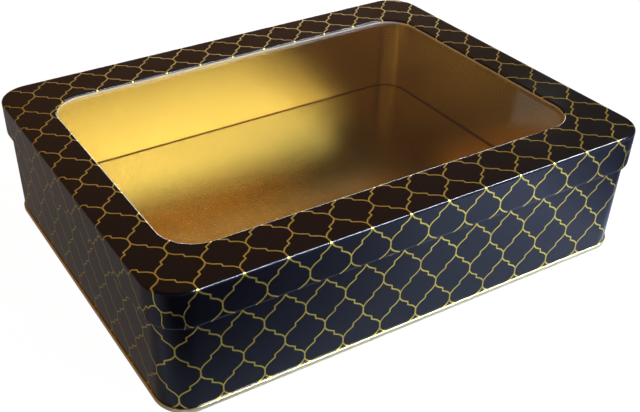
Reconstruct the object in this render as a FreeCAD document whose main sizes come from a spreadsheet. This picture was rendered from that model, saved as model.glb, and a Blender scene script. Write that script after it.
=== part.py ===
"""Window tin box: a rectangular tinplate box with a slip lid that has a large clear window.

The pieces, from the ground up:
  box_base     the floor panel, pressed up inside the wall, with the rolled seam it stands on
  box_wall     one sheet wrapped into a rounded rectangle, its top edge curled outwards
  window_film  the clear sheet under the lid's window
  lid          top, skirt and window flange drawn from one sheet

Frame: +X along the long side, +Y along the short side to the back, +Z up. The origin is the
centre of the box where it stands. All sizes are millimetres.
"""
import FreeCAD, Part
import os
import Sketcher

SIZES = (
    # the whole
    ("lid_length", 305.0, "outside of the lid along X"),
    ("lid_width", 238.0, "outside of the lid along Y"),
    ("overall_height", 76.5, "ground to the top of the lid"),
    ("lid_corner", 19.5, "outside corner radius of the lid, seen from above"),
    ("sheet", 0.3, "thickness of the printed tinplate"),
    # the lid
    ("skirt_depth", 21.7, "top of the lid to the lower edge of its skirt"),
    ("lid_bend", 1.4, "outside radius of the bend between top and skirt"),
    ("hem_depth", 4.0, "height of the skirt's edge folded inwards"),
    ("side_border", 22.5, "side of the lid to the window's bend line, along X"),
    ("front_border", 29.5, "front or back of the lid to the window's bend line, along Y"),
    ("window_corner", 22.0, "corner radius of the window at the bend line"),
    ("window_bend", 1.0, "outside radius of the bend into the window flange"),
    ("flange_depth", 2.2, "top of the lid to the lower edge of the window flange"),
    # the clear film
    ("film_thickness", 0.3, "thickness of the clear film"),
    ("film_margin", 7.0, "how far the film reaches past the window on each side"),
    # the wall
    ("side_gap", 2.4, "outside of the lid's skirt to the outside of the wall"),
    ("hem_gap", 0.6, "gap between the curled top edge and the hem that passes over it"),
    ("curl_height", 1.6, "height of the curled top edge"),
    ("lid_seat", 0.1, "gap between the curl and the lid that lies on it"),
    # the base
    ("floor_height", 10.0, "ground to the upper face of the floor panel"),
    ("floor_bend", 1.2, "outside radius where the floor panel turns down"),
    ("seam_height", 2.8, "ground to the top of the rolled seam"),
    ("seam_reach", 0.9, "how far the rolled seam stands out of the wall"),
    ("seam_round", 0.45, "radius of the rolled seam's outer edges"),
    ("seam_gap", 0.1, "gap on each side of the wall in the seam and round the floor"),
)

# what follows from the sizes, so that the pieces keep fitting when one of them changes
DERIVED = (
    ("window_length", "lid_length - 2 * side_border"),
    ("window_width", "lid_width - 2 * front_border"),
    ("wall_length", "lid_length - 2 * side_gap"),
    ("wall_width", "lid_width - 2 * side_gap"),
    ("wall_corner", "lid_corner - side_gap"),
    ("wall_top", "overall_height - sheet - lid_seat"),
    ("curl_reach", "side_gap - 2 * sheet - hem_gap"),
    ("film_top", "overall_height - flange_depth"),
    ("pan_inset", "sheet + seam_gap"),
)

# a folded edge is rounded on both sides by this share of its thickness
EDGE_SHARE = 0.45
# edges and faces count as lying at a height within this distance
LEVEL_SLACK = 0.02


def make_sheet(document):
    """Write the driving sizes and what follows from them into a spreadsheet of named cells."""
    cells = document.addObject("Spreadsheet::Sheet", "sizes")
    for row, (name, value, meaning) in enumerate(SIZES, start=1):
        cells.set("A%d" % row, name)
        cells.set("B%d" % row, str(value))
        cells.set("C%d" % row, meaning)
        cells.setAlias("B%d" % row, name)
    document.recompute()
    for row, (name, formula) in enumerate(DERIVED, start=len(SIZES) + 1):
        cells.set("A%d" % row, name)
        cells.set("B%d" % row, "=" + formula)
        cells.setAlias("B%d" % row, name)
        document.recompute()
    return cells


def make_body(document, name):
    """A PartDesign body whose label is the name of its piece."""
    body = document.addObject("PartDesign::Body", name)
    body.Label = name
    body.Placement = FreeCAD.Placement()
    return body


def ground_plane(body):
    """The XY plane of the body's own origin."""
    for feature in body.Origin.OriginFeatures:
        if feature.Role == "XY_Plane":
            return feature
    raise RuntimeError("no XY plane in " + body.Label)


def rounded_rectangle(body, name, length, width, radius, height):
    """A level sketch of a rounded rectangle round the Z axis.

    length, width, radius and height are expressions of the sheet's cells.
    """
    sketch = body.newObject("Sketcher::SketchObject", name)
    sketch.AttachmentSupport = (ground_plane(body), "")
    sketch.MapMode = "FlatFace"
    # a first shape of about the right form, which the constraints then bring to size
    half_x, half_y, corner = 100.0, 70.0, 20.0
    right, left = half_x - corner, corner - half_x
    back, front = half_y - corner, corner - half_y
    point = FreeCAD.Vector
    up = point(0, 0, 1)
    quarter = 1.5707963267948966
    sides = (
        (point(left, -half_y, 0), point(right, -half_y, 0)),
        (point(half_x, front, 0), point(half_x, back, 0)),
        (point(right, half_y, 0), point(left, half_y, 0)),
        (point(-half_x, back, 0), point(-half_x, front, 0)),
    )
    centres = ((right, front), (right, back), (left, back), (left, front))
    for start, end in sides:
        sketch.addGeometry(Part.LineSegment(start, end), False)
    for turn, (x, y) in enumerate(centres):
        circle = Part.Circle(point(x, y, 0), up, corner)
        first = (turn - 1) * quarter
        sketch.addGeometry(Part.ArcOfCircle(circle, first, first + quarter), False)
    # lines are 0 to 3 (front, right, back, left); arc 4 + n follows line n
    start_of, end_of, centre_of = 1, 2, 3
    for turn in range(4):
        arc = 4 + turn
        after = (turn + 1) % 4
        sketch.addConstraint(Sketcher.Constraint("Tangent", turn, end_of, arc, start_of))
        sketch.addConstraint(Sketcher.Constraint("Tangent", arc, end_of, after, start_of))
    for line, kind in enumerate(("Horizontal", "Vertical", "Horizontal", "Vertical")):
        sketch.addConstraint(Sketcher.Constraint(kind, line))
    for arc in (5, 6, 7):
        sketch.addConstraint(Sketcher.Constraint("Equal", 4, arc))
    axis_point = (-1, 1)
    sketch.addConstraint(Sketcher.Constraint("Symmetric", 4, centre_of, 6, centre_of, *axis_point))
    span_x = sketch.addConstraint(Sketcher.Constraint("DistanceX", 3, start_of, 1, start_of, 2 * half_x))
    span_y = sketch.addConstraint(Sketcher.Constraint("DistanceY", 0, start_of, 2, start_of, 2 * half_y))
    bend = sketch.addConstraint(Sketcher.Constraint("Radius", 4, corner))
    sketch.setExpression("Constraints[%d]" % span_x, length)
    sketch.setExpression("Constraints[%d]" % span_y, width)
    sketch.setExpression("Constraints[%d]" % bend, radius)
    sketch.setExpression("AttachmentOffset.Base.z", height)
    return sketch


def pad(body, name, sketch, height):
    """Raise the sketch by the expression height."""
    feature = body.newObject("PartDesign::Pad", name)
    feature.Profile = sketch
    feature.setExpression("Length", height)
    return feature


def pocket_up(body, name, sketch, height):
    """Cut upwards from the sketch by the expression height."""
    feature = body.newObject("PartDesign::Pocket", name)
    feature.Profile = sketch
    feature.Reversed = True
    feature.setExpression("Length", height)
    return feature


def edges_at(feature, height, inside=None, outside=None):
    """Names of the level edges at a height whose X or Y reach fits the two limits.

    inside and outside are (half length, half width) of the loop that the edges lie on:
    an edge counts when it lies on or inside the first and on or outside the second.
    """
    names = []
    slack = LEVEL_SLACK
    for number, edge in enumerate(feature.Shape.Edges, start=1):
        box = edge.BoundBox
        if abs(box.ZMin - height) > slack or abs(box.ZMax - height) > slack:
            continue
        reach_x = max(abs(box.XMin), abs(box.XMax))
        reach_y = max(abs(box.YMin), abs(box.YMax))
        if inside and (reach_x > inside[0] + slack or reach_y > inside[1] + slack):
            continue
        if outside and reach_x < outside[0] - slack and reach_y < outside[1] - slack:
            continue
        names.append("Edge%d" % number)
    return names


def faces_at(feature, height):
    """Names of the flat level faces at a height."""
    names = []
    for number, face in enumerate(feature.Shape.Faces, start=1):
        box = face.BoundBox
        if abs(box.ZMin - height) < LEVEL_SLACK and abs(box.ZMax - height) < LEVEL_SLACK:
            names.append("Face%d" % number)
    return names


def fillet(body, name, base, edges, radius):
    """Round the named edges of the base feature by the expression radius."""
    if not edges:
        raise RuntimeError("no edges for " + name)
    feature = body.newObject("PartDesign::Fillet", name)
    feature.Base = (base, edges)
    feature.setExpression("Radius", radius)
    return feature


def make_lid(document, cells):
    """The lid: a shallow pan of one sheet, hemmed below, with a flanged window."""
    body = make_body(document, "lid")
    top = "sizes.overall_height"
    skirt_foot = top + " - sizes.skirt_depth"

    outline = rounded_rectangle(body, "lid_outline", "sizes.lid_length", "sizes.lid_width",
                                "sizes.lid_corner", skirt_foot)
    block = pad(body, "lid_block", outline, "sizes.skirt_depth")
    document.recompute()
    rounded = fillet(body, "lid_top_bend", block,
                     edges_at(block, cells.overall_height), "sizes.lid_bend")
    document.recompute()
    foot = cells.overall_height - cells.skirt_depth
    under_top = cells.overall_height - cells.sheet

    # hollow the block out to one sheet all over, open below
    hollow = body.newObject("PartDesign::Thickness", "lid_hollow")
    hollow.Base = (rounded, faces_at(rounded, foot))
    hollow.setExpression("Value", "sizes.sheet")
    hollow.Reversed = True
    hollow.Join = "Arc"
    document.recompute()
    # the folded edge: a plate across the foot of the skirt, cut back to a second sheet
    plate_outline = rounded_rectangle(body, "lid_hem_plate_outline",
                                      "sizes.lid_length - sizes.sheet",
                                      "sizes.lid_width - sizes.sheet",
                                      "sizes.lid_corner - sizes.sheet / 2", skirt_foot)
    pad(body, "lid_hem_plate", plate_outline, "sizes.hem_depth")
    hem_outline = rounded_rectangle(body, "lid_hem_outline",
                                    "sizes.lid_length - 4 * sizes.sheet",
                                    "sizes.lid_width - 4 * sizes.sheet",
                                    "sizes.lid_corner - 2 * sizes.sheet", skirt_foot)
    hem = pocket_up(body, "lid_hem", hem_outline, "sizes.hem_depth + sizes.sheet")
    document.recompute()
    fillet(body, "lid_hem_round", hem, edges_at(hem, foot), "2 * sizes.sheet * %g" % EDGE_SHARE)
    document.recompute()

    # the flange that turns down round the window
    collar_outline = rounded_rectangle(
        body, "flange_outline",
        "sizes.window_length - 2 * sizes.window_bend + 2 * sizes.sheet",
        "sizes.window_width - 2 * sizes.window_bend + 2 * sizes.sheet",
        "sizes.window_corner - sizes.window_bend + sizes.sheet",
        "sizes.film_top")
    collar = pad(body, "flange_block", collar_outline, "sizes.flange_depth - sizes.sheet / 2")
    document.recompute()
    near_window = (cells.window_length / 2, cells.window_width / 2)
    fillet(body, "flange_inner_bend", collar, edges_at(collar, under_top, inside=near_window),
           "sizes.window_bend - sizes.sheet")
    opening_outline = rounded_rectangle(body, "window_outline",
                                        "sizes.window_length - 2 * sizes.window_bend",
                                        "sizes.window_width - 2 * sizes.window_bend",
                                        "sizes.window_corner - sizes.window_bend",
                                        "sizes.film_top - sizes.sheet")
    opening = pocket_up(body, "window_opening", opening_outline,
                        "sizes.flange_depth + 2 * sizes.sheet")
    document.recompute()
    fillet(body, "window_bend_round", opening,
           edges_at(opening, cells.overall_height, inside=near_window), "sizes.window_bend")
    document.recompute()
    return body


def make_film(document):
    """The clear film: a flat sheet pressed against the lower edge of the window flange."""
    body = make_body(document, "window_film")
    outline = rounded_rectangle(body, "film_outline",
                                "sizes.window_length + 2 * sizes.film_margin",
                                "sizes.window_width + 2 * sizes.film_margin",
                                "sizes.window_corner",
                                "sizes.film_top - sizes.film_thickness")
    pad(body, "film_sheet", outline, "sizes.film_thickness")
    document.recompute()
    return body


def make_wall(document, cells):
    """The wall: a wrapped sheet that stands in the seam, its top edge curled outwards."""
    body = make_body(document, "box_wall")
    outline = rounded_rectangle(body, "wall_outline", "sizes.wall_length", "sizes.wall_width",
                                "sizes.wall_corner", "sizes.sheet")
    pad(body, "wall_block", outline, "sizes.wall_top - sizes.sheet")
    curl_outline = rounded_rectangle(body, "curl_outline",
                                     "sizes.wall_length + 2 * sizes.curl_reach",
                                     "sizes.wall_width + 2 * sizes.curl_reach",
                                     "sizes.wall_corner + sizes.curl_reach",
                                     "sizes.wall_top - sizes.curl_height")
    pad(body, "curl_block", curl_outline, "sizes.curl_height")
    hollow_outline = rounded_rectangle(body, "wall_hollow_outline",
                                       "sizes.wall_length - 2 * sizes.sheet",
                                       "sizes.wall_width - 2 * sizes.sheet",
                                       "sizes.wall_corner - sizes.sheet", "0 mm")
    hollow = pocket_up(body, "wall_hollow", hollow_outline, "sizes.overall_height")
    document.recompute()
    loop = (cells.wall_length / 2 + cells.curl_reach, cells.wall_width / 2 + cells.curl_reach)
    edges = edges_at(hollow, cells.wall_top, outside=loop)
    edges += edges_at(hollow, cells.wall_top - cells.curl_height, outside=loop)
    fillet(body, "curl_round", hollow, edges, "sizes.curl_height * %g" % EDGE_SHARE)
    document.recompute()
    return body


def make_base(document, cells):
    """The base: a floor panel raised inside the wall and the rolled seam round its foot."""
    body = make_body(document, "box_base")
    seam_outline = rounded_rectangle(body, "seam_outline",
                                     "sizes.wall_length + 2 * sizes.seam_reach",
                                     "sizes.wall_width + 2 * sizes.seam_reach",
                                     "sizes.wall_corner + sizes.seam_reach", "0 mm")
    seam = pad(body, "seam_block", seam_outline, "sizes.seam_height")
    document.recompute()
    fillet(body, "seam_round_edges", seam,
           edges_at(seam, 0.0) + edges_at(seam, cells.seam_height), "sizes.seam_round")
    # the groove that the wall stands in
    groove_outline = rounded_rectangle(body, "groove_outline",
                                       "sizes.wall_length + 2 * sizes.seam_gap",
                                       "sizes.wall_width + 2 * sizes.seam_gap",
                                       "sizes.wall_corner + sizes.seam_gap", "sizes.sheet")
    pocket_up(body, "groove", groove_outline, "sizes.seam_height")
    # the pan that rises inside the wall and carries the floor
    pan_outline = rounded_rectangle(body, "pan_outline",
                                    "sizes.wall_length - 2 * sizes.pan_inset",
                                    "sizes.wall_width - 2 * sizes.pan_inset",
                                    "sizes.wall_corner - sizes.pan_inset", "sizes.sheet / 2")
    pan = pad(body, "pan_block", pan_outline, "sizes.floor_height - sizes.sheet / 2")
    document.recompute()
    # hollow the pan from below, rounding it inside before outside so that the sheet stays whole
    under_outline = rounded_rectangle(body, "under_floor_outline",
                                      "sizes.wall_length - 2 * sizes.pan_inset - 2 * sizes.sheet",
                                      "sizes.wall_width - 2 * sizes.pan_inset - 2 * sizes.sheet",
                                      "sizes.wall_corner - sizes.pan_inset - sizes.sheet", "0 mm")
    under = pocket_up(body, "under_floor", under_outline, "sizes.floor_height - sizes.sheet")
    document.recompute()
    under_round = fillet(body, "under_floor_bend", under,
                         edges_at(under, cells.floor_height - cells.sheet),
                         "sizes.floor_bend - sizes.sheet")
    document.recompute()
    fillet(body, "floor_bend_round", under_round,
           edges_at(under_round, cells.floor_height), "sizes.floor_bend")
    document.recompute()
    return body


def check_document(document, bodies):
    """Stop if any feature failed or a piece isn't one valid solid."""
    for item in document.Objects:
        if "Invalid" in item.State or "Error" in item.State:
            raise RuntimeError(item.Label + " failed: " + str(item.State))
    for body in bodies:
        shape = body.Shape
        if shape.isNull() or not shape.isValid() or len(shape.Solids) != 1:
            raise RuntimeError(body.Label + " isn't one valid solid")


def main():
    document = FreeCAD.newDocument("window_tin_box")
    cells = make_sheet(document)
    bodies = [
        make_base(document, cells),
        make_wall(document, cells),
        make_film(document),
        make_lid(document, cells),
    ]
    document.recompute()
    check_document(document, bodies)
    os.makedirs("parts", exist_ok=True)
    for body in bodies:
        body.Shape.exportStep("parts/%s.step" % body.Label)
        box = body.Shape.optimalBoundingBox(False)
        print("%-12s %8.1f mm3  %.2f x %.2f x %.2f mm, z %.2f to %.2f" % (
            body.Label, body.Shape.Volume, box.XLength, box.YLength, box.ZLength, box.ZMin, box.ZMax))


main()
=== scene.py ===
# %% [markdown]
# # A window tin box
#
# A gift tin is made of four pieces. A long strip of printed tinplate is wrapped into a wall, a
# pressed pan closes it below and is rolled onto it in a seam, and a lid is drawn from one more sheet.
# A clear film under the lid closes the window that is cut in it.
#
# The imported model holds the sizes. This script reads them, makes each sheet again as a smooth
# surface that carries its print, and gives it the finish of lacquered tin.

# %% Load the frame
import math
import bpy
import numpy as np
from mathutils import Matrix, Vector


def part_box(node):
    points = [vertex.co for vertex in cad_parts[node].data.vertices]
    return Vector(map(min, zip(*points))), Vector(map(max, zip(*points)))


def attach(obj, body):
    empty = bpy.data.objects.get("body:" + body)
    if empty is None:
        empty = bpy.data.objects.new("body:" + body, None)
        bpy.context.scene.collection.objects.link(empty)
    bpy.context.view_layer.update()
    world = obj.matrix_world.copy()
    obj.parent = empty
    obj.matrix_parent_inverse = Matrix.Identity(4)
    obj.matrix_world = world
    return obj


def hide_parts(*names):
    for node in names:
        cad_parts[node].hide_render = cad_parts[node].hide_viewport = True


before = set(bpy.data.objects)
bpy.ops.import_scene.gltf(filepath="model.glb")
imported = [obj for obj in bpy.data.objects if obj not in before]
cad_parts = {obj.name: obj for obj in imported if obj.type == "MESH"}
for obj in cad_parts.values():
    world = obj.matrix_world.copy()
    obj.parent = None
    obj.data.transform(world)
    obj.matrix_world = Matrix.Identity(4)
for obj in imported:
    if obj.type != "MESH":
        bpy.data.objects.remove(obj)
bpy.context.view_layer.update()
print("pieces in the frame:", ", ".join(sorted(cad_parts)))

# %% [markdown]
# ## Sizes
#
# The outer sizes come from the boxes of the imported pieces. What a box can't tell, such as a bend's
# radius, is written here in millimetres, as on the tin maker's drawing.

# %% Sizes of the sheets
MM = 0.001

lid_low, lid_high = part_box("lid")
wall_low, wall_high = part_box("box_wall")
_, base_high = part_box("box_base")
film_low, film_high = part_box("window_film")

SHEET = 0.3 * MM
LID_CORNER = 19.5 * MM
LID_BEND = 1.4 * MM
HEM_DEPTH = 4.0 * MM
HEM_ROLL = 1.0 * MM
SIDE_BORDER = 22.5 * MM
FRONT_BORDER = 29.5 * MM
WINDOW_CORNER = 22.0 * MM
WINDOW_BEND = 1.0 * MM
SIDE_GAP = 2.4 * MM
CURL_HEIGHT = 1.6 * MM
CURL_ROUND = CURL_HEIGHT * 0.45
FLOOR_BEND = 1.2 * MM
SEAM_HEIGHT = 2.8 * MM
SEAM_ROUND = 0.45 * MM
SEAM_GAP = 0.1 * MM
FLANGE_FOOT = film_high.z

lid_length, lid_width = lid_high.x - lid_low.x, lid_high.y - lid_low.y
print("lid %.1f x %.1f mm, box %.1f mm high" % (lid_length / MM, lid_width / MM, lid_high.z / MM))

# %% [markdown]
# ## A path round a rounded rectangle
#
# Every sheet of this tin follows a rounded rectangle, so one path serves them all. Each of its
# points has a centre and a direction outwards. Going out from the centre by the corner's radius
# reaches the rectangle, and going a little further or less far reaches any sheet beside it, with
# its corners still round and concentric. That is how sheets nest in a real tin.

# %% The path
TURN_STEPS = 20
LONG_STEPS = 26
SHORT_STEPS = 20


def path_round(half_x, half_y, radius):
    """Corner centres, outward directions and distances gone, round a rounded rectangle.

    It goes anticlockwise seen from above and starts where the front's straight side starts. On a
    side the centre slides from one corner's centre to the next and the direction stays; on a
    corner the centre stays and the direction turns by a quarter. The last point is the first again.
    """
    corners = np.array([(1, -1), (1, 1), (-1, 1), (-1, -1)]) * (half_x - radius, half_y - radius)
    centres, angles, gone = [], [], []
    distance = 0.0
    for side in range(4):
        start, end = corners[side - 1], corners[side]
        steps = LONG_STEPS if side % 2 == 0 else SHORT_STEPS
        share = np.arange(steps)[:, None] / steps
        centres.append(start + (end - start) * share)
        angles.append(np.full(steps, (side - 1) * math.pi / 2))
        length = np.linalg.norm(end - start)
        gone.append(distance + length * share[:, 0])
        distance += length
        turn = np.arange(TURN_STEPS) / TURN_STEPS
        centres.append(np.repeat(end[None], TURN_STEPS, 0))
        angles.append((side - 1 + turn) * math.pi / 2)
        gone.append(distance + radius * math.pi / 2 * turn)
        distance += radius * math.pi / 2
    centres = np.concatenate(centres + [centres[0][:1]])
    angles = np.concatenate(angles + [angles[0][:1]])
    gone = np.concatenate(gone + [[distance]])
    return {"centre": centres, "out": np.stack([np.cos(angles), np.sin(angles)], 1),
            "gone": gone, "radius": radius}


lid_path = path_round(lid_high.x, lid_high.y, LID_CORNER)
window_path = path_round(lid_high.x - SIDE_BORDER, lid_high.y - FRONT_BORDER, WINDOW_CORNER)
wall_path = path_round(lid_high.x - SIDE_GAP, lid_high.y - SIDE_GAP, LID_CORNER - SIDE_GAP)
film_path = path_round(film_high.x, film_high.y, WINDOW_CORNER)
print("round the wall: %.1f mm" % (wall_path["gone"][-1] / MM))

# %% [markdown]
# ## A cross-section, drawn with a pen
#
# A sheet is a cross-section carried along the path. The cross-section is drawn as with a pen that
# goes on in straight lines and arcs. With each step the pen notes where the surface faces. Meshes
# usually guess that from their faces, and on glossy tin a guess shows as a smear beside every
# bend. Here the normals are exact: a flat stretch stays flat up to the line where the bend starts.

# %% The pen
UP, INWARD, DOWN, OUTWARD = 90.0, 180.0, 270.0, 0.0


class Section:
    """A cross-section: points out from the path and up, with the facing of each stretch.

    out is the distance outside the path and up the height. share is 0 on the first path and 1 on
    the second, where a sheet spans from one to the other. Each stretch between two points keeps
    the facing of the surface at both ends, in degrees from outwards (0) over up (90), and its
    skin's name.
    """

    def __init__(self, out, up, share=0.0, skin="outside"):
        self.points = [(out, up, share)]
        self.stretches = []
        self.skin = skin

    def _go(self, out, up, share, faces):
        self.points.append((out, up, share))
        self.stretches.append((*faces, self.skin))

    def line(self, out, up, face, share=None, steps=1):
        """Go straight on to a point, with the surface facing one way all along."""
        start_out, start_up, start_share = self.points[-1]
        share = start_share if share is None else share
        for step in range(1, steps + 1):
            part = step / steps
            self._go(start_out + (out - start_out) * part, start_up + (up - start_up) * part,
                     start_share + (share - start_share) * part, (face, face))

    def arc(self, centre_out, centre_up, radius, start, end, steps, hollow=False, tall=None):
        """Go round a centre from one angle to another. A hollow arc faces its centre.

        With a height of its own, tall, it is part of an oval: at the angle t it lies radius *
        cos(t) out and tall * sin(t) up, and it faces along (cos(t) / radius, sin(t) / tall).
        """
        tall = tall or radius
        share = self.points[-1][2]
        angles = np.radians(np.linspace(start, end, steps + 1))
        faces = np.degrees(np.arctan2(np.sin(angles) / tall, np.cos(angles) / radius))
        faces += 180.0 if hollow else 0.0
        for angle, before, after in zip(angles[1:], faces, faces[1:]):
            self._go(centre_out + radius * math.cos(angle), centre_up + tall * math.sin(angle),
                     share, (before, after))

    def close(self):
        """End where the pen started: the last point is the first again, so it is dropped."""
        self.points.pop()


def skin_slots(section, skins):
    """For each stretch, the place of its skin's name among the piece's skins."""
    return [skins.index(skin) for _, _, skin in section.stretches]


# %% [markdown]
# ## From a cross-section to a mesh
#
# The surface is worked out as whole arrays: one row of points for each pen point and one column
# for each point of the path. A closed cross-section joins its last row to its first, so the sheet
# has a real thickness and no open edge. A floor or a film ends in a pole at each face's middle.

# %% Carry a cross-section along a path
def from_above(out, share, path, other):
    """Rows of points: (1 - share) of the first path's point and share of the second path's.

    A path's point is its centre plus (its radius + out) times its direction.
    """
    out, share = out[:, None, None], share[:, None, None]
    first = path["centre"] + (path["radius"] + out) * path["out"]
    second = other["centre"] + (other["radius"] + out) * other["out"]
    return first * (1 - share) + second * share


def places(section, path, other=None):
    """The rows of a section's points from above, each at its height up."""
    out, up, share = np.array(section.points).T
    level = from_above(out, share, path, other or path)
    return np.concatenate([level, np.broadcast_to(up[:, None, None], level[..., :1].shape)], 2)


def both_ends(rows, bands):
    """Values per row, given for the first and the last row of each band."""
    return np.stack([rows[np.arange(bands)], rows[(np.arange(bands) + 1) % len(rows)]])


def both_sides(ends):
    """Values per end and column, given for the left and the right side of each column of faces."""
    return np.stack([ends[:, :, :-1], ends[:, :, 1:]], 1)


def facings(section, path):
    """For both ends of each stretch: cos(angle) times the path's direction, and sin(angle) up."""
    angles = np.radians(np.array([stretch[:2] for stretch in section.stretches])).T
    level = np.cos(angles)[..., None, None] * path["out"]
    up = np.broadcast_to(np.sin(angles)[..., None, None], level[..., :1].shape)
    return both_sides(np.concatenate([level, up], 3))


# %% Number the faces and make the mesh
def band_faces(low, high, count, pole):
    """Each face's points, and the end and side of the band that each of its corners lies at.

    A face goes along the low row and back along the high one. low and high are the numbers of the
    rows' first points. A row that is a pole is one point, so the faces beside it are triangles.
    """
    column = np.arange(count)
    after = (column + 1) % count
    corners = {(0, 0): low + column, (0, 1): low + after,
               (1, 1): high + after, (1, 0): high + column}
    if pole == "low":
        corners[0, 0] = np.full(count, low)
        del corners[0, 1]
    elif pole == "high":
        corners[1, 0] = np.full(count, high)
        del corners[1, 1]
    return np.stack(list(corners.values()), 1), np.array(list(corners))


def mesh_of_faces(name, vertices, faces, slots):
    """A mesh of the given faces. A face's corners start where those of the faces before it end."""
    sizes = np.concatenate([np.full(len(ids), ids.shape[1]) for ids in faces])
    loops = np.concatenate([ids.ravel() for ids in faces])
    mesh = bpy.data.meshes.new(name)
    mesh.vertices.add(len(vertices))
    mesh.vertices.foreach_set("co", vertices.astype(np.float32).ravel())
    mesh.loops.add(len(loops))
    mesh.loops.foreach_set("vertex_index", loops.astype(np.int32))
    mesh.polygons.add(len(sizes))
    mesh.polygons.foreach_set("loop_start", (np.cumsum(sizes) - sizes).astype(np.int32))
    mesh.polygons.foreach_set("material_index", slots.astype(np.int32))
    mesh.update(calc_edges=True)
    return mesh


def sheet_piece(name, rows, normals, closed, maps, skins, finishes):
    """Make a mesh of rows of points, and of a pole at each end if it isn't closed.

    Each stretch between two rows is a band of faces. normals and each map hold a value for every
    corner of every face: for the band's first and last row, and for the left and right side of
    each column of faces. skins says which of the finishes each band has.
    """
    count = rows.shape[1] - 1
    bands = len(rows) if closed else len(rows) - 1
    if closed:
        starts = np.arange(len(rows)) * count
        vertices = rows[:, :-1].reshape(-1, 3)
    else:
        starts = np.concatenate([[0], 1 + np.arange(len(rows) - 1) * count])
        vertices = np.concatenate([rows[0, :1], rows[1:-1, :-1].reshape(-1, 3), rows[-1, :1]])
    poles = {} if closed else {0: "low", bands - 1: "high"}
    faces, picks = [], []
    for band in range(bands):
        ids, ends = band_faces(starts[band], starts[(band + 1) % len(rows)], count, poles.get(band))
        faces.append(ids)
        pick = np.broadcast_arrays(ends[:, 0], ends[:, 1], band, np.arange(count)[:, None])
        picks.append(np.stack(pick, 2).reshape(-1, 4))
    picks = tuple(np.concatenate(picks).T)
    mesh = mesh_of_faces(name, vertices, faces, np.repeat(skins, count))
    for map_name, values in maps.items():
        layer = mesh.uv_layers.new(name=map_name)
        layer.uv.foreach_set("vector", values[picks].astype(np.float32).ravel())
    for finish in finishes:
        mesh.materials.append(finish)
    mesh.validate()
    mesh.shade_smooth()
    mesh.normals_split_custom_set(normals[picks].astype(np.float32))
    piece = bpy.data.objects.new(name, mesh)
    bpy.context.scene.collection.objects.link(piece)
    print("%s: %d faces" % (name, len(mesh.polygons)))
    return piece


# %% [markdown]
# ## Shader maths in plain expressions
#
# A print or a grain is a formula that the renderer works out at each point of a surface. Blender
# writes such a formula as nodes. With the small class below it can be written as an expression
# instead, such as 1 - mask, and each sign adds its Math node.

# %% Fields and finishes
class Field:
    """A value that varies over a surface. Sums with it add Math nodes to its finish."""

    def __init__(self, finish, socket):
        self.finish = finish
        self.socket = socket

    def math(self, operation, *others, **settings):
        """Any Math node, with this field as its first value."""
        return self.finish.node("Math", {"operation": operation, **settings},
                                dict(enumerate((self, *others))))

    def __add__(self, other):
        return self.math("ADD", other)

    def __sub__(self, other):
        return self.math("SUBTRACT", other)

    def __mul__(self, other):
        return self.math("MULTIPLY", other)

    def __truediv__(self, other):
        return self.math("DIVIDE", other)

    def __rsub__(self, other):
        return self.finish.node("Math", {"operation": "SUBTRACT"}, {0: other, 1: self})

    def __pow__(self, other):
        return self.math("POWER", other)

    def __abs__(self):
        return self.math("ABSOLUTE")

    def __gt__(self, other):
        return self.math("GREATER_THAN", other)

    __radd__ = __add__
    __rmul__ = __mul__

    def nearest_whole(self):
        return self.math("ROUND")

    def root(self):
        return self.math("SQRT")

    def least(self, other):
        return self.math("MINIMUM", other)

    def clipped(self):
        """The value, kept between 0 and 1."""
        return self.math("ADD", 0.0, use_clamp=True)


class Finish:
    """A material, or the world, and the nodes that it is made of."""

    def __init__(self, owner):
        owner.use_nodes = True
        self.owner = owner
        self.tree = owner.node_tree
        self.tree.nodes.clear()

    def node(self, kind, settings=None, sockets=None, output=0):
        """Add a node: its settings are set first, then its sockets get values or fields."""
        made = self.tree.nodes.new("ShaderNode" + kind)
        for name, value in (settings or {}).items():
            setattr(made, name, value)
        for name, value in (sockets or {}).items():
            if isinstance(value, Field):
                self.tree.links.new(value.socket, made.inputs[name])
            else:
                made.inputs[name].default_value = value
        return Field(self, made.outputs[output])

    def here(self):
        """The place on the piece, in metres."""
        return self.node("TexCoord", output="Object")

    def coordinate(self, vector, axis):
        """One coordinate of a vector, by its letter."""
        return self.node("SeparateXYZ", sockets={0: vector}, output=axis)

    def rays(self, kind):
        """1 where the surface is met by a kind of ray, such as Camera, and 0 elsewhere."""
        return self.node("LightPath", output="Is %s Ray" % kind)

    def colours(self, share, first, second):
        """The first colour where share is 0, the second where it is 1.

        A Mix node has its colours on sockets 6 and 7, and the mixed colour on output 2.
        """
        return self.node("Mix", {"data_type": "RGBA"}, {0: share, 6: first, 7: second}, output=2)

    def mixed(self, share, first, second):
        """The first shader where share is 0, the second where it is 1."""
        return self.node("MixShader", sockets={0: share, 1: first, 2: second})

    def noise(self, where, scale, detail):
        """Soft random waves, scale of them to a metre. detail adds finer waves on them."""
        return self.node("TexNoise", sockets={"Vector": where, "Scale": scale, "Detail": detail})

    def stretched(self, where, scale):
        """The coordinates, scaled differently along each axis."""
        return self.node("Mapping", sockets={"Vector": where, "Scale": scale})

    def relief(self, height, distance):
        """A normal that follows a height, whose full step is distance metres deep."""
        return self.node("Bump", sockets={"Height": height, "Distance": distance})

    def output(self, surface, target="OutputMaterial"):
        """End the nodes: the surface goes to the material's output, or to the world's."""
        end = self.tree.nodes.new("ShaderNode" + target)
        self.tree.links.new(surface.socket, end.inputs["Surface"])


def rgb(red, green, blue):
    """A colour written as its linear red, green and blue shares."""
    return (red, green, blue, 1.0)


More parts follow.
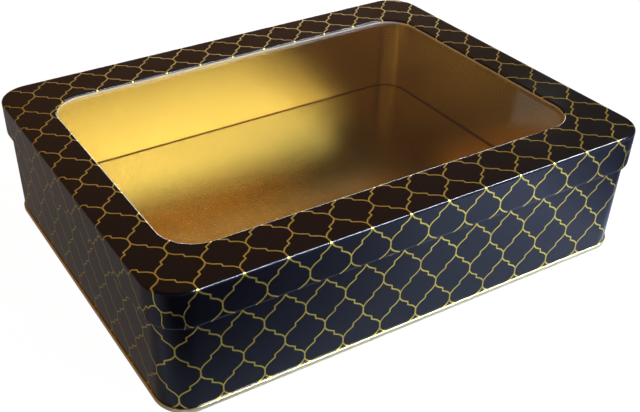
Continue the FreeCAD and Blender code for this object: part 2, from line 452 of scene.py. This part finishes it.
# %% [markdown]
# ## The trellis print
#
# The print is an old trellis of lantern-shaped cells. Its line is one short curve, repeated: it
# leaves a knot straight down, swings out, takes a small step halfway and meets the next knot, which
# lies half a cell across and half a cell down. Because the trellis mirrors in every knot and turns
# about every step, any point can be folded back beside that one curve, and its distance to a few
# short lines says whether it is gold. Its sizes are counted in periods: PERIOD is a cell's width.

# %% The trellis as a formula
PERIOD = 23.594 * MM
CELL_HEIGHT = 1.3255
LINE_WIDTH = 0.034
SOFT_EDGE = 0.012
SIDE_POINTS = ((0.0, 0.0), (0.0, 0.085), (0.045, 0.150),
               (0.100, 0.203), (0.25, 0.288), (0.25, 0.3314))


def squared_distance(across, down, start, end):
    """The squared distance from (across, down) to the line between two points.

    The foot of the perpendicular is start + share * (end - start), where share is the dot
    product with the line over its squared length, kept between 0 and 1.
    """
    step_x, step_y = end[0] - start[0], end[1] - start[1]
    squared = step_x ** 2 + step_y ** 2
    from_x, from_y = across - start[0], down - start[1]
    share = (from_x * (step_x / squared) + from_y * (step_y / squared)).clipped()
    off_x, off_y = from_x - share * step_x, from_y - share * step_y
    return off_x * off_x + off_y * off_y


def trellis(finish):
    """How far inside the gold line a point is: 1 on the line and 0 beside it, with a soft edge.

    It is (half the line's width + half the soft edge - the distance to the curve) / the soft edge,
    kept between 0 and 1. It reads the map named print, which counts in periods from a knot.
    """
    place = finish.node("UVMap", {"uv_map": "print"})
    across = finish.coordinate(place, "X")
    down = finish.coordinate(place, "Y")
    across = abs(across - across.nearest_whole())
    down = abs(down - (down / CELL_HEIGHT).nearest_whole() * CELL_HEIGHT)
    # turn the far half of the curve about the middle of its step onto the near half
    middle_x, middle_y = SIDE_POINTS[-1]
    beyond = ((across - middle_x) * 0.5 + (down - middle_y) * (CELL_HEIGHT / 2)) > 0.0
    across = across + beyond * (2 * middle_x - 2 * across)
    down = down + beyond * (2 * middle_y - 2 * down)
    nearest = None
    for start, end in zip(SIDE_POINTS, SIDE_POINTS[1:]):
        squared = squared_distance(across, down, start, end)
        nearest = squared if nearest is None else nearest.least(squared)
    return ((LINE_WIDTH / 2 + SOFT_EDGE / 2 - nearest.root()) / SOFT_EDGE).clipped()


# %% [markdown]
# ## The finish of the printed tin
#
# The sheet is tinplate. It is printed nearly black, a gold lacquer shows through where the ink
# is left out, and a clear gloss goes over all of it. So the gold lines are metal and mirror
# the room, and the ink is a plastic-like gloss. Both share the slight unevenness of a rolled
# sheet, which only shows where something bright is mirrored in it.

# %% Printed tin
INK_ROUGHNESS, GOLD_ROUGHNESS = 0.12, 0.32
GOLD_METAL = 0.99
STREAK_ROUGHNESS, SPECK_ROUGHNESS = 0.08, 0.04
STREAK_HEIGHT = 0.05
WAVE_DEPTH = 0.12 * MM


def printed_tin():
    """Black ink and gold lines under one gloss.

    Roughness is the ink's or the line's, plus (streaks - half) and (specks - half), each times its
    own share. Clouds are some 70 mm wide, specks 1 mm, and streaks 17 mm along and 2 mm upwards.
    """
    finish = Finish(bpy.data.materials.new("printed_tin"))
    here = finish.here()
    line = trellis(finish)
    clouds = finish.noise(here, 14.0, 2.0)
    specks = finish.noise(here, 900.0, 1.0)
    streaks = finish.noise(finish.stretched(here, (60.0, 60.0, 420.0)), 1.0, 3.0)
    ink = finish.colours(clouds, rgb(0.0022, 0.0022, 0.0045), rgb(0.0045, 0.0045, 0.0085))
    gold = finish.colours(clouds, rgb(0.77, 0.62, 0.115), rgb(0.85, 0.70, 0.145))
    roughness = (INK_ROUGHNESS + line * (GOLD_ROUGHNESS - INK_ROUGHNESS)
                 + (streaks - 0.5) * STREAK_ROUGHNESS + (specks - 0.5) * SPECK_ROUGHNESS)
    shine = finish.node("BsdfPrincipled", sockets={
        "Base Color": finish.colours(line, ink, gold),
        "Metallic": line * GOLD_METAL,
        "Roughness": roughness,
        "IOR": 1.5,
        "Specular Tint": rgb(0.80, 0.86, 1.0),
        "Normal": finish.relief(clouds + streaks * STREAK_HEIGHT, WAVE_DEPTH),
    })
    finish.output(shine)
    return finish.owner


printed = printed_tin()
print("printed tin: %d nodes" % len(printed.node_tree.nodes))

# %% [markdown]
# ## The finish of the gold lacquer
#
# Inside, the bare tin has a gold lacquer. It is metal with a satin sheen: the rolling of the sheet
# left fine lines along it, which draw every reflection out across them. The seam is a paler gold, a
# painted highlight along it. The lid's underside is a dark brown, painted shade under the lid, a thin
# dark line runs along the bend round the floor, and beside the window the sheet is half bare tin in a
# pale tone, a painted highlight. All of them are one finish with other tones.

# %% Gold lacquer
SATIN_ROUGHNESS = 0.23
CLOUD_ROUGHNESS, GRAIN_ROUGHNESS = 0.08, 0.06
GRAIN_HEIGHT = 0.02
SATIN_DEPTH = 0.4 * MM


def gold_lacquer(name, deep, pale, metal=1.0):
    """Satin gold, between a deep and a pale tone. metal is the share of it that is bare metal.

    Clouds are some 110 mm wide, and the grain's lines 25 mm long and under 1 mm wide. Roughness is
    the satin's, plus (clouds - half) and (grain - half), each times its own share.
    """
    finish = Finish(bpy.data.materials.new(name))
    here = finish.here()
    clouds = finish.noise(here, 9.0, 3.0)
    grain = finish.noise(finish.stretched(here, (40.0, 1400.0, 1400.0)), 1.0, 2.0)
    roughness = (SATIN_ROUGHNESS + (clouds - 0.5) * CLOUD_ROUGHNESS
                 + (grain - 0.5) * GRAIN_ROUGHNESS)
    shine = finish.node("BsdfPrincipled", sockets={
        "Base Color": finish.colours(clouds, deep, pale),
        "Metallic": metal,
        "Roughness": roughness,
        "Normal": finish.relief(clouds + grain * GRAIN_HEIGHT, SATIN_DEPTH),
    })
    finish.output(shine)
    return finish.owner


lacquer = gold_lacquer("gold_lacquer", rgb(0.80, 0.625, 0.225), rgb(0.85, 0.68, 0.275))
# the lid's underside: a dark brown that is painted shade under the lid
lid_underside_shade = gold_lacquer("lid_painted_shade", rgb(0.145, 0.075, 0.012), rgb(0.19, 0.10, 0.018))
# a darker tone for the thin line along the bend round the floor
dark_bend = gold_lacquer("floor_bend_dark", rgb(0.115, 0.062, 0.011), rgb(0.145, 0.078, 0.014))
# a paler gold on the seam: a painted highlight
pale_seam_highlight = gold_lacquer("pale_seam_highlight", rgb(0.80, 0.71, 0.42), rgb(0.86, 0.78, 0.50))
# bare tin beside the window, in a pale tone that is a painted highlight
bare_edge_highlight = gold_lacquer("bare_edge_highlight", rgb(0.90, 0.80, 0.66), rgb(0.96, 0.88, 0.76), metal=0.5)
satins = (lacquer, lid_underside_shade, dark_bend, pale_seam_highlight, bare_edge_highlight)
print("satin finishes:", ", ".join(satin.name for satin in satins))

# %% [markdown]
# ## The clear film
#
# The film is so thin that it doesn't bend what is seen through it. Each of its faces mirrors a few
# per cent of the room, and much more at a shallow angle. So the finish mixes a clear shader with a
# mirror, and the mirror's share is MIRROR_LEAST + MIRROR_MORE * (1 - cosine)^5.

# %% Clear film
MIRROR_LEAST = 0.036
MIRROR_MORE = 0.9
FILM_ROUGHNESS, SMUDGE_ROUGHNESS = 0.03, 0.05
RIPPLE_DEPTH = 0.2 * MM


def clear_film():
    """Clear, with the mirror's share above. Ripples are some 90 mm wide and smudges 17 mm."""
    finish = Finish(bpy.data.materials.new("clear_film"))
    here = finish.here()
    ripples = finish.noise(here, 11.0, 1.0)
    smudges = finish.noise(here, 60.0, 3.0)
    shallow = finish.node("LayerWeight", sockets={"Blend": 0.5}, output="Facing")
    mirror = finish.node("BsdfPrincipled", sockets={
        "Base Color": rgb(0.95, 0.96, 0.97),
        "Metallic": 1.0,
        "Roughness": FILM_ROUGHNESS + smudges * SMUDGE_ROUGHNESS,
        "Normal": finish.relief(ripples, RIPPLE_DEPTH),
    })
    through = finish.node("BsdfTransparent", sockets={"Color": rgb(0.975, 0.975, 0.97)})
    share = MIRROR_LEAST + shallow ** 5.0 * MIRROR_MORE
    finish.output(finish.mixed(share, through, mirror))
    return finish.owner


film_finish = clear_film()
print("clear film: %d nodes" % len(film_finish.node_tree.nodes))

# %% [markdown]
# ## The lid
#
# The lid is drawn from one sheet: a skirt, a bend, the flat border, another bend and the flange that
# hangs into the window. The skirt's lower edge is rolled inwards into a small oval hem, which makes
# it stiff and smooth to hold. The pen starts on the hem's outermost line. It goes up the outside of
# the skirt, across the border to the window, back underneath and round the hem to its start. The
# flange's upright face is half bare tin in a pale tone, a painted highlight that draws the pale line
# round the window.
#
# The print was on the sheet while it was flat, so its map is the flat sheet's: on the border it is
# the place itself, and on the skirt and the flange it goes on outwards and inwards. A bend draws
# the print out a little.

# %% Draw the lid's cross-section
def lid_section():
    """Up the outside, across to the window, back underneath and round the hem."""
    foot, top = lid_low.z, lid_high.z
    hem = HEM_DEPTH / 2
    bend_up = top - LID_BEND
    flange_up = top - WINDOW_BEND
    pen = Section(0.0, foot + hem)
    pen.line(0.0, bend_up, OUTWARD, steps=6)
    pen.arc(-LID_BEND, bend_up, LID_BEND, 0, 90, 10)
    pen.line(0.0, top, UP, share=1.0, steps=8)
    pen.arc(0.0, flange_up, WINDOW_BEND, 90, 180, 8)
    # the flange's upright face: half bare tin, in a pale tone that is a painted highlight
    pen.skin = "edge"
    pen.line(-WINDOW_BEND, FLANGE_FOOT, INWARD, steps=2)
    # underneath: the dark brown of painted shade
    pen.skin = "inside"
    pen.line(SHEET - WINDOW_BEND, FLANGE_FOOT, DOWN)
    pen.line(SHEET - WINDOW_BEND, flange_up, OUTWARD)
    pen.arc(0.0, flange_up, WINDOW_BEND - SHEET, 180, 90, 6, hollow=True)
    pen.line(-LID_BEND, top - SHEET, DOWN, share=0.0, steps=4)
    pen.arc(-LID_BEND, bend_up, LID_BEND - SHEET, 90, 0, 8, hollow=True)
    pen.line(-SHEET, foot + HEM_DEPTH, INWARD, steps=4)
    pen.line(-HEM_ROLL, foot + HEM_DEPTH, UP)
    pen.arc(-HEM_ROLL, foot + hem, HEM_ROLL, 90, 270, 10, tall=hem)
    pen.skin = "outside"
    pen.arc(-HEM_ROLL, foot + hem, HEM_ROLL, 270, 360, 8, tall=hem)
    pen.close()
    return pen


lid_pen = lid_section()
print("lid cross-section: %d points" % len(lid_pen.points))

# %% Lay the lid's print out flat
PRINT_DRAWN = 0.70
LID_KNOT = (9.638 * MM, 8.930 * MM)
HEM_STEPS = 60
TOLERANCE = 1e-9


def past_bend(into, depth, radius):
    """How far along the sheet a point lies past a bend's start, round the bend and straight on.

    Round the bend it is the radius times the angle, whose sine is into / radius. Below the bend it
    is the depth less the radius.
    """
    angle = np.where(depth < radius, np.arcsin(np.clip(into / radius, 0, 1)), math.pi / 2)
    return radius * angle, np.maximum(depth - radius, 0)


def hem_extra(height):
    """How much longer the way round the hem's lower outer quarter is than the height it covers.

    At the turn t the oval lies HEM_ROLL * cos(t) out and hem * sin(t) down, and the way is the sum
    of short steps round it. Above the hem the extra is nothing.
    """
    hem = HEM_DEPTH / 2
    turn = np.linspace(0, math.pi / 2, HEM_STEPS)
    gone = np.cumsum(np.hypot(np.diff(HEM_ROLL * np.cos(turn), prepend=HEM_ROLL),
                              np.diff(hem * np.sin(turn), prepend=0.0)))
    below = np.clip((lid_low.z + hem - height) / hem, 0, 1)
    return np.interp(np.arcsin(below), turn, gone) - below * hem


def flat_lid(section, path, other):
    """Where each point lay on the flat sheet.

    On the border it is the point itself. Past a bend's start it is the path's point there, moved on
    along the path's direction by the distance gone, times PRINT_DRAWN on the skirt's bend.
    """
    out, up, share = np.array(section.points).T
    depth = lid_high.z - up
    bent, straight = past_bend(out + LID_BEND, depth, LID_BEND)
    on_skirt = bent * PRINT_DRAWN + straight + hem_extra(up) - LID_BEND
    on_flange = -sum(past_bend(-out, depth, WINDOW_BEND))
    below = np.where(share > 0.5, on_flange, on_skirt)
    return from_above(np.where(depth > TOLERANCE, below, out), share, path, other)


lid_rows = places(lid_pen, lid_path, window_path)
lid_flat = both_ends(flat_lid(lid_pen, lid_path, window_path), len(lid_pen.stretches))
lid_flat = both_sides(lid_flat)
lid_print = (lid_flat - LID_KNOT) / PERIOD

# %% [markdown]
# The lid has a second map, for a renderer that wants this finish as one square texture. The printed
# side fills the square, so that the thin lines stay sharp in it, and the plain underside lies small
# in the empty window.

# %% Make the lid
LID_SQUARE = 352 * MM
UNDERSIDE = 0.42

lid_skins = skin_slots(lid_pen, ("outside", "inside", "edge"))
lid_size = np.where(np.array(lid_skins)[:, None, None] == 1, UNDERSIDE, 1.0)
lid_share = lid_flat * lid_size / LID_SQUARE + 0.5
lid_piece = sheet_piece("tin_lid", lid_rows, facings(lid_pen, lid_path), True,
                        {"print": lid_print, "OFBake": lid_share}, lid_skins,
                        (printed, lid_underside_shade, bare_edge_highlight))
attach(lid_piece, "root")
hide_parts("lid")

# %% [markdown]
# ## The wall
#
# The wall is one strip, so its map is the strip laid out: the distance gone round the box, and the
# height. The strip is 44 cells long, which closes the trellis without a break. Its top edge is
# curled outwards under the lid, which keeps the skirt clear of the wall. One knot of the print is
# placed by its distance to the right of the front's middle and above the foot.

# %% Draw the wall and lay its print out
WALL_KNOT = (9.096 * MM, 55.17 * MM)
CELLS_ROUND = 44


def wall_section():
    """Up the outside, round the curl, over the top and down the inside."""
    foot, top = wall_low.z, wall_high.z
    reach = wall_high.x - (lid_high.x - SIDE_GAP)
    under = top - CURL_HEIGHT
    pen = Section(0.0, foot)
    pen.line(0.0, under, OUTWARD, steps=8)
    pen.line(reach - CURL_ROUND, under, DOWN)
    pen.arc(reach - CURL_ROUND, under + CURL_ROUND, CURL_ROUND, -90, 0, 5)
    pen.line(reach, top - CURL_ROUND, OUTWARD)
    pen.arc(reach - CURL_ROUND, top - CURL_ROUND, CURL_ROUND, 0, 90, 5)
    pen.skin = "inside"
    pen.line(-SHEET, top, UP)
    pen.line(-SHEET, foot, INWARD, steps=6)
    pen.line(0.0, foot, DOWN)
    pen.close()
    return pen


wall_pen = wall_section()
wall_rows = places(wall_pen, wall_path)
gone = np.broadcast_to(wall_path["gone"], wall_rows.shape[:2])
strip = both_ends(np.stack([gone, wall_rows[..., 2]], 2), len(wall_pen.stretches))
strip = both_sides(strip)
length_round = wall_path["gone"][-1]
knot_gone = WALL_KNOT[0] + (lid_high.x - LID_CORNER)
wall_print = np.stack([(strip[..., 0] - knot_gone) * CELLS_ROUND / length_round,
                       (strip[..., 1] - WALL_KNOT[1]) / PERIOD], -1)
print("cells round the wall: %d, %.2f mm each" % (CELLS_ROUND, length_round / CELLS_ROUND / MM))

# %% [markdown]
# In the wall's square texture the strip is cut at the corners into four rows, one above the other,
# and the plain inner side is a narrow row on top.

# %% Share out the wall's texture
WALL_SQUARE = 338 * MM
ROW_HEIGHT = 79 * MM
ROW_MARGIN = 2 * MM
INNER_SIZE = (0.31, 0.2)

wall_skins = skin_slots(wall_pen, ("outside", "inside"))
per_side = np.array([LONG_STEPS + TURN_STEPS, SHORT_STEPS + TURN_STEPS] * 2)
first_column = np.concatenate([[0], np.cumsum(per_side)])
side_of_column = np.repeat(np.arange(4), per_side)
across = strip[..., 0] - wall_path["gone"][first_column[side_of_column]]
up = strip[..., 1] + side_of_column * ROW_HEIGHT
outer = np.stack([across, up], -1) + ROW_MARGIN
inner = strip * INNER_SIZE + (2 * ROW_MARGIN, 4 * ROW_HEIGHT + 2 * ROW_MARGIN)
wall_share = np.where(np.array(wall_skins)[:, None, None] == 0, outer, inner) / WALL_SQUARE
print("wall texture: %.3f to %.3f" % (wall_share.min(), wall_share.max()))

# %% Make the wall
wall_piece = sheet_piece("tin_wall", wall_rows, facings(wall_pen, wall_path), True,
                         {"print": wall_print, "OFBake": wall_share}, wall_skins, (printed, lacquer))
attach(wall_piece, "root")
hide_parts("box_wall")

# %% [markdown]
# ## The base
#
# The base is a pan pressed from lacquered tin. Its floor is raised inside the wall, its rim turns
# down, and at the foot it is rolled round the wall's edge into the seam that the box stands on.
# The floor's bend carries a thin dark line, and the seam is the paler gold, a painted highlight. The
# pen starts in the middle of the underside and ends in the middle of the floor.

# %% Draw and make the base
def base_section():
    """Out under the floor, down the rim, round the seam, up the pan and in over the floor."""
    floor, out = base_high.z, base_high.x - (lid_high.x - SIDE_GAP)
    pan = -SHEET - SEAM_GAP
    inside = pan - SHEET
    bend_up = floor - FLOOR_BEND
    middle = -(LID_CORNER - SIDE_GAP)
    pen = Section(middle, floor - SHEET, share=1.0, skin="inside")
    pen.line(pan - FLOOR_BEND, floor - SHEET, DOWN, share=0.0, steps=6)
    pen.arc(pan - FLOOR_BEND, bend_up, FLOOR_BEND - SHEET, 90, 0, 6, hollow=True)
    pen.line(inside, 0.0, INWARD, steps=2)
    # the seam has the paler gold, a painted highlight
    pen.skin = "seam"
    pen.line(out - SEAM_ROUND, 0.0, DOWN)
    pen.arc(out - SEAM_ROUND, SEAM_ROUND, SEAM_ROUND, -90, 0, 6)
    pen.line(out, SEAM_HEIGHT - SEAM_ROUND, OUTWARD)
    pen.arc(out - SEAM_ROUND, SEAM_HEIGHT - SEAM_ROUND, SEAM_ROUND, 0, 90, 6)
    pen.line(SEAM_GAP, SEAM_HEIGHT, UP)
    pen.skin = "inside"
    pen.line(SEAM_GAP, SHEET, INWARD)
    pen.line(pan, SHEET, UP)
    pen.line(pan, bend_up, OUTWARD)
    # a darker tone along the floor's bend
    pen.skin = "dark_bend"
    pen.arc(pan - FLOOR_BEND, bend_up, FLOOR_BEND, 0, 90, 8)
    pen.skin = "inside"
    pen.line(middle, floor, UP, share=1.0, steps=10)
    return pen


def to_the_middle(path):
    """The same path, with all its centres drawn together in the middle of the box."""
    return {**path, "centre": path["centre"] * 0.0}


base_pen = base_section()
base_rows = places(base_pen, wall_path, to_the_middle(wall_path))
base_skins = skin_slots(base_pen, ("inside", "dark_bend", "seam"))
base_piece = sheet_piece("tin_base", base_rows, facings(base_pen, wall_path), False, {},
                         base_skins, (lacquer, dark_bend, pale_seam_highlight))
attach(base_piece, "root")
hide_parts("box_base")

# %% [markdown]
# ## The film
#
# A flat clear sheet with rounded corners, pressed against the lower edge of the window's flange.

# %% Draw and make the film
def film_section():
    """Out underneath, up the cut edge and back in on top."""
    low, high, middle = film_low.z, film_high.z, -WINDOW_CORNER
    pen = Section(middle, low, share=1.0)
    pen.line(0.0, low, DOWN, share=0.0, steps=3)
    pen.line(0.0, high, OUTWARD)
    pen.line(middle, high, UP, share=1.0, steps=3)
    return pen


film_pen = film_section()
film_rows = places(film_pen, film_path, to_the_middle(film_path))
film_piece = sheet_piece("window_sheet", film_rows, facings(film_pen, film_path), False, {},
                         [0] * len(film_pen.stretches), (film_finish,))
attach(film_piece, "root")
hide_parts("window_film")

# %% [markdown]
# ## The floor
#
# The box stands on a plain pale floor. Seen directly or in a mirror the floor glows a little, so it
# stays white up to the horizon and only dims where the box shades it. Glossy tin mirrors whatever
# stands around it, and dark things too. Two soft patches of painted shade on the floor stand for
# those. Only mirrors show the patches, and they darken both ends of the front.

# %% Pale floor
FLOOR_REACH = 12.0
FLOOR_TONE, PAINTED_SHADE_TONE = rgb(0.69, 0.76, 0.94), rgb(0.10, 0.09, 0.12)
WHITE = rgb(1.0, 1.0, 1.0)
GLOW = 1.16
GLOW_SEEN, GLOW_MIRRORED = 0.85, 0.08
PATCH_STRENGTH = 1.2
# patches of painted shade on the floor, seen only in mirrors
PAINTED_SHADE_PATCHES = (
    {"middle": (-0.170, -0.215), "reach": (0.220, 0.095)},
    {"middle": (0.280, -0.140), "reach": (0.125, 0.160)},
)


def pale_floor():
    """A matt floor mixed with a glow, which is strong for the camera and slight in mirrors.

    A patch's shade is PATCH_STRENGTH less two squares, kept between 0 and 1: those of the distance
    from its middle over its reach, across and away.
    """
    finish = Finish(bpy.data.materials.new("pale_floor"))
    seen, mirrored, clear = (finish.rays(kind) for kind in ("Camera", "Glossy", "Transmission"))
    here = finish.here()
    across, away = finish.coordinate(here, "X"), finish.coordinate(here, "Y")
    shade = 0.0
    # each patch darkens the floor's tone, as painted shade that only mirrors see
    for patch in PAINTED_SHADE_PATCHES:
        off_x = (across - patch["middle"][0]) / patch["reach"][0]
        off_y = (away - patch["middle"][1]) / patch["reach"][1]
        shade = (PATCH_STRENGTH - (off_x * off_x + off_y * off_y)).clipped() + shade
    shade = shade.clipped() * mirrored
    tone = finish.colours(shade, FLOOR_TONE, PAINTED_SHADE_TONE)
    lit = finish.node("BsdfDiffuse", sockets={"Color": tone})
    glow = finish.node("Emission", sockets={"Color": WHITE, "Strength": GLOW})
    unshaded = ((mirrored + clear).clipped() - shade).clipped()
    finish.output(finish.mixed(seen * GLOW_SEEN + unshaded * GLOW_MIRRORED, lit, glow))
    return finish.owner


floor_corners = [(x * FLOOR_REACH, y * FLOOR_REACH, 0)
                 for x, y in ((-1, -1), (1, -1), (1, 1), (-1, 1))]
floor_mesh = bpy.data.meshes.new("floor")
floor_mesh.from_pydata(floor_corners, [], [(0, 1, 2, 3)])
floor_mesh.materials.append(pale_floor())
floor = bpy.data.objects.new("floor", floor_mesh)
bpy.context.scene.collection.objects.link(floor)
print("floor: %.0f m square" % (2 * FLOOR_REACH))

# %% [markdown]
# ## The room
#
# The room around is soft and dim, as a studio is: under an evenly bright sky black tin would look
# grey. Only the camera sees it white. What the tin mirrors of it is a warm brown behind the box,
# warmer still to the left and cooler at the far right, and a dark brown in front.

# %% Room
FRONT_TONE = rgb(0.11, 0.073, 0.052)
BACK_TONE = rgb(0.235, 0.112, 0.047)
BACK_LEFT_TONE = rgb(0.33, 0.152, 0.052)
BACK_RIGHT_TONE = rgb(0.125, 0.105, 0.070)
LEFT_SLOPE, RIGHT_SLOPE, BACK_SLOPE = -2.0, 6.0, 2.0
RIGHT_START = 0.55


def dim_room():
    """The room's tones by the direction's x, from left to right, and its y, from front to back.

    Each tone's share is the direction's part times its slope, kept between 0 and 1. So the left
    tone is full from x = -0.5 on, the right one starts at RIGHT_START, and the back is full from
    y = 0.5 on.
    """
    room = Finish(bpy.data.worlds.new("room"))
    towards = room.node("TexCoord", output="Generated")
    right, behind = room.coordinate(towards, "X"), room.coordinate(towards, "Y")
    back = room.colours((right * LEFT_SLOPE).clipped(), BACK_TONE, BACK_LEFT_TONE)
    back = room.colours(((right - RIGHT_START) * RIGHT_SLOPE).clipped(), back, BACK_RIGHT_TONE)
    tone = room.colours((behind * BACK_SLOPE).clipped(), FRONT_TONE, back)
    dim = room.node("Background", sockets={"Color": tone})
    white = room.node("Background", sockets={"Color": WHITE})
    room.output(room.mixed(room.rays("Camera"), dim, white), "OutputWorld")
    return room.owner


bpy.context.scene.world = dim_room()
print("room: %d nodes" % len(bpy.context.scene.world.node_tree.nodes))

# %% [markdown]
# ## Lamps
#
# Tin is lit by what it mirrors, so each lamp is placed for what it draws in the metal. The window,
# at the front right, is mirrored twice inside the box and makes the bright gold at its left. One
# overhead gives the metal a broad sheen. A small fill lights the floor before the box, which the
# front then mirrors. A far pane shows as a dim square in the film. A narrow strip high up draws the
# bright line along the lid's front bend, and a low one far behind draws the window's far edge.
# Each lamp's power is worked out from how bright its face should look.

# %% Place the lamps
def lamp(name, place, target, width, depth, brightness, colour=(1.0, 1.0, 1.0), skips=None):
    """A rectangular lamp that faces a target. Its power is pi times brightness times area.

    skips says what it doesn't light: diffuse or glossy surfaces. Its own axes are back, away from
    the target, side, which is level and square to it, and the one square to both.
    """
    light = bpy.data.lights.new(name, "AREA")
    light.shape = "RECTANGLE"
    light.size, light.size_y = width, depth
    light.energy = math.pi * width * depth * brightness
    light.color = colour
    made = bpy.data.objects.new(name, light)
    bpy.context.scene.collection.objects.link(made)
    ahead = np.array(target, float) - np.array(place, float)
    back = -ahead / np.linalg.norm(ahead)
    side = np.cross((0.0, 0.0, 1.0), back)
    side /= np.linalg.norm(side)
    turn = np.eye(4)
    turn[:3, 0], turn[:3, 1], turn[:3, 2], turn[:3, 3] = side, np.cross(back, side), back, place
    made.matrix_world = Matrix(turn.tolist())
    made.visible_camera = False
    if skips:
        setattr(made, "visible_" + skips, False)
    print("%s: %.1f W" % (name, light.energy))


lamp("window", place=(0.70, -1.10, 0.96), target=(0.0, 0.0, 0.05), width=1.0, depth=0.62,
     brightness=1.22, colour=(0.89, 1.16, 1.62))
lamp("overhead", place=(0.8, -0.7, 1.6), target=(0.0, 0.0, 0.0), width=1.2, depth=0.9,
     brightness=2.0, colour=(0.88, 0.98, 1.20), skips="diffuse")
lamp("fill", place=(0.42, -0.37, 0.25), target=(0.12, -0.2, 0.0), width=0.25, depth=0.25,
     brightness=14.5, colour=(0.88, 1.0, 1.22), skips="glossy")
lamp("far_pane", place=(1.44, 1.14, 0.96), target=(0.118, -0.065, 0.0743), width=0.12, depth=0.09,
     brightness=0.2, colour=(0.75, 1.0, 1.0), skips="diffuse")
lamp("strip_front", place=(1.0, -0.75, 1.5), target=(0.2, 0.0, 0.0), width=2.0, depth=0.05,
     brightness=230.0, skips="diffuse")
lamp("strip_back", place=(1.3, 2.4, 0.29), target=(0.0, 0.0, 0.05), width=1.5, depth=0.30,
     brightness=16.0, skips="diffuse")

# %% [markdown]
# ## The camera
#
# The camera looks down on the near left corner. It is given as its place, its heading round the box,
# its height above the horizon and a slight tilt to the side. The shift moves the box to the middle
# of the frame without turning the camera.

# %% Place the camera
NEAREST, FARTHEST = 0.02, 50.0


def place_camera(place, heading, height, tilt, lens, shift):
    """Look away from back, with the frame tilted a little to the side.

    back is (sin of the heading * cos of the height, -cos of the heading * cos of the height, sin
    of the height), and right is (cos of the heading, sin of the heading, 0). The tilt turns right
    and up about back.
    """
    camera = bpy.data.objects.new("camera", bpy.data.cameras.new("camera"))
    bpy.context.scene.collection.objects.link(camera)
    heading, height, tilt = (math.radians(angle) for angle in (heading, height, tilt))
    round_box = np.array([math.sin(heading), -math.cos(heading), 0.0])
    back = round_box * math.cos(height) + np.array([0.0, 0.0, math.sin(height)])
    right = np.array([math.cos(heading), math.sin(heading), 0.0])
    up = np.cross(back, right)
    turn = np.eye(4)
    turn[:3, 0] = math.cos(tilt) * right + math.sin(tilt) * up
    turn[:3, 1] = math.cos(tilt) * up - math.sin(tilt) * right
    turn[:3, 2] = back
    turn[:3, 3] = place
    camera.matrix_world = Matrix(turn.tolist())
    camera.data.lens = lens
    camera.data.shift_x, camera.data.shift_y = shift
    camera.data.clip_start, camera.data.clip_end = NEAREST, FARTHEST
    bpy.context.scene.camera = camera


place_camera(place=(-0.2663, -0.4156, 0.3323), heading=-29.206, height=37.718, tilt=-0.837,
             lens=52.421, shift=(0.0938, 0.1156))
bpy.context.scene.view_settings.view_transform = "Standard"
print("camera: %.1f mm lens" % bpy.context.scene.camera.data.lens)
